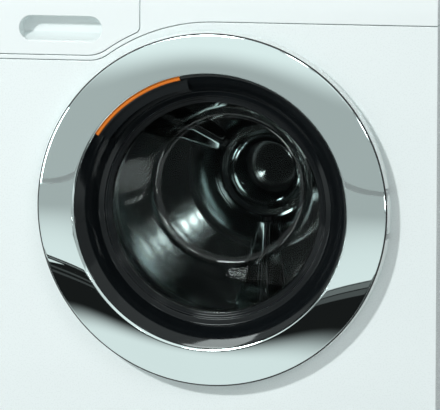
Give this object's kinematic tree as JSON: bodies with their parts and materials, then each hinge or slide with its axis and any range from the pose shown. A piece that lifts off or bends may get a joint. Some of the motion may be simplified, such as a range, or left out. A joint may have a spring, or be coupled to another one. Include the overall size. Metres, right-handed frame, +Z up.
{
  "type": "front-loading washing machine",
  "caption": "Front-loading washing machine with a round hinged door, detergent drawer, control fascia and a belt-driven drum in a sprung tub.",
  "frame": {"origin": "middle of the footprint, on the floor under the feet", "axes": "+Z up, -Y out of the door's front, +X to the right as seen from the front"},
  "size_m": [0.596, 0.636, 0.85],
  "materials": {
    "painted_white": "gloss",
    "white_plastic": "satin",
    "zinc_steel": "satin",
    "silver_ring": "metallic satin",
    "silver_frame": "satin",
    "black_gloss": "gloss",
    "orange_plastic": "satin",
    "window_glass": "clear",
    "chrome_trim": "metallic gloss",
    "display_black": "gloss",
    "circuit_board": "satin",
    "grey_plastic": "matte",
    "dark_plastic": "matte",
    "pale_plastic": "satin",
    "blue_plastic": "satin",
    "grey_rubber": "matte",
    "black_rubber": "matte",
    "drum_steel": "polished",
    "spring_steel": "satin",
    "cast_alloy": "cast",
    "cast_concrete": "rough"
  },
  "bodies": {
    "cabinet": {"base_tray": "dark_plastic", "foot_front_left": "black_rubber", "foot_front_right": "black_rubber", "foot_rear_left": "black_rubber", "foot_rear_right": "black_rubber", "side_panel_left": "painted_white", "side_panel_right": "painted_white", "rear_panel": "zinc_steel", "rear_access_cover": "zinc_steel", "worktop_lid": "white_plastic", "front_panel": "painted_white", "control_fascia": "white_plastic", "display_lens": "display_black", "control_board": "circuit_board", "plinth_panel": "white_plastic", "drain_pump": "grey_plastic", "dispenser_housing": "grey_plastic", "inlet_valve": "pale_plastic", "door_lock": "dark_plastic", "hinge_bracket": "zinc_steel", "door_gasket": "grey_rubber", "sump_hose": "black_rubber", "dispenser_hose": "black_rubber", "suspension_spring_left": "spring_steel", "suspension_spring_right": "spring_steel"},
    "door": {"door_ring": "silver_ring", "door_bezel": "black_gloss", "grip_accent": "orange_plastic", "door_glass": "window_glass", "door_back_frame": "silver_frame", "door_hinge_arm": "zinc_steel", "door_catch": "zinc_steel"},
    "drawer": {"drawer_front": "white_plastic", "drawer_tray": "pale_plastic", "drawer_siphon": "blue_plastic"},
    "selector": {"selector_knob": "chrome_trim"},
    "power_key": {"power_button": "chrome_trim"},
    "start_key": {"start_button": "orange_plastic"},
    "flap": {"service_flap": "white_plastic"},
    "filter_cap": {"drain_filter_cap": "dark_plastic"},
    "tub": {"tub_front_shell": "grey_plastic", "tub_rear_shell": "grey_plastic", "front_counterweight": "cast_concrete", "top_counterweight": "cast_concrete", "drive_motor": "cast_alloy", "heater_element": "spring_steel", "shaft_bearings": "spring_steel", "drive_belt": "black_rubber"},
    "drum": {"drum_shell": "drum_steel", "lifter_1": "drum_steel", "lifter_2": "drum_steel", "lifter_3": "drum_steel", "drum_spider": "cast_alloy", "drum_shaft": "spring_steel", "drum_pulley": "cast_alloy"},
    "rotor": {"motor_pulley": "spring_steel"},
    "damper_base_left": {"damper_cylinder_left": "dark_plastic"},
    "damper_base_right": {"damper_cylinder_right": "dark_plastic"},
    "damper_arm_left": {"damper_rod_left": "spring_steel"},
    "damper_arm_right": {"damper_rod_right": "spring_steel"}
  },
  "joints": [
    {"name": "door_hinge", "type": "hinge", "parent": "cabinet", "child": "door", "pos_m": [0.23, -0.292, 0.432], "axis": [0, 0, 1], "range_deg": [0, 145]},
    {"name": "drawer_slide", "type": "slide", "parent": "cabinet", "child": "drawer", "axis": [0, -1, 0], "range_m": [0, 0.18]},
    {"name": "selector_turn", "type": "hinge", "parent": "cabinet", "child": "selector", "pos_m": [-0.022, -0.26766, 0.759], "axis": [0, -0.9877, 0.1564], "continuous": true},
    {"name": "start_press", "type": "slide", "parent": "cabinet", "child": "start_key", "axis": [0, 0.9877, -0.1564], "range_m": [0, 0.0018], "stiffness_N_per_m": 400, "springref_m": -0.001},
    {"name": "power_press", "type": "slide", "parent": "cabinet", "child": "power_key", "axis": [0, 0.9877, -0.1564], "range_m": [0, 0.0018], "stiffness_N_per_m": 400, "springref_m": -0.001},
    {"name": "flap_hinge", "type": "hinge", "parent": "cabinet", "child": "flap", "pos_m": [0.17, -0.271, 0.0345], "axis": [1, 0, 0], "range_deg": [0, 90]},
    {"name": "filter_cap_turn", "type": "hinge", "parent": "cabinet", "child": "filter_cap", "pos_m": [0.17, -0.2517, 0.06], "axis": [0, -1, 0], "range_deg": [0, 90]},
    {"name": "tub_suspension", "type": "slide", "parent": "cabinet", "child": "tub", "axis": [0, 0, 1], "range_m": [-0.008, 0.008], "stiffness_N_per_m": 20000, "springref_m": 0.02, "deforming": ["suspension_spring_left", "suspension_spring_right", "door_gasket", "sump_hose", "dispenser_hose"]},
    {"name": "drum_spin", "type": "hinge", "parent": "tub", "child": "drum", "pos_m": [0, 0.119, 0.432], "axis": [0, 1, 0], "continuous": true},
    {"name": "motor_spin", "type": "hinge", "parent": "tub", "child": "rotor", "pos_m": [0.15, 0.19, 0.135], "axis": [0, 1, 0], "continuous": true},
    {"name": "damper_foot_left", "type": "hinge", "parent": "cabinet", "child": "damper_base_left", "pos_m": [-0.215, 0.01, 0.085], "axis": [0, 1, 0], "range_deg": [-1.2, 1.2]},
    {"name": "damper_foot_right", "type": "hinge", "parent": "cabinet", "child": "damper_base_right", "pos_m": [0.215, 0.01, 0.085], "axis": [0, 1, 0], "range_deg": [-1.2, 1.2]},
    {"name": "damper_head_left", "type": "hinge", "parent": "tub", "child": "damper_arm_left", "pos_m": [-0.17, 0.01, 0.218], "axis": [0, 1, 0], "range_deg": [-1.2, 1.2]},
    {"name": "damper_head_right", "type": "hinge", "parent": "tub", "child": "damper_arm_right", "pos_m": [0.17, 0.01, 0.218], "axis": [0, 1, 0], "range_deg": [-1.2, 1.2]}
  ],
  "couplings": [
    {"joint": "motor_spin", "follows": "drum_spin", "ratio": 12},
    {"joint": "damper_foot_left", "follows": "tub_suspension", "rad_per_m": -2.2826},
    {"joint": "damper_foot_right", "follows": "tub_suspension", "rad_per_m": 2.2826},
    {"joint": "damper_head_left", "follows": "tub_suspension", "rad_per_m": -2.2826},
    {"joint": "damper_head_right", "follows": "tub_suspension", "rad_per_m": 2.2826}
  ]
}
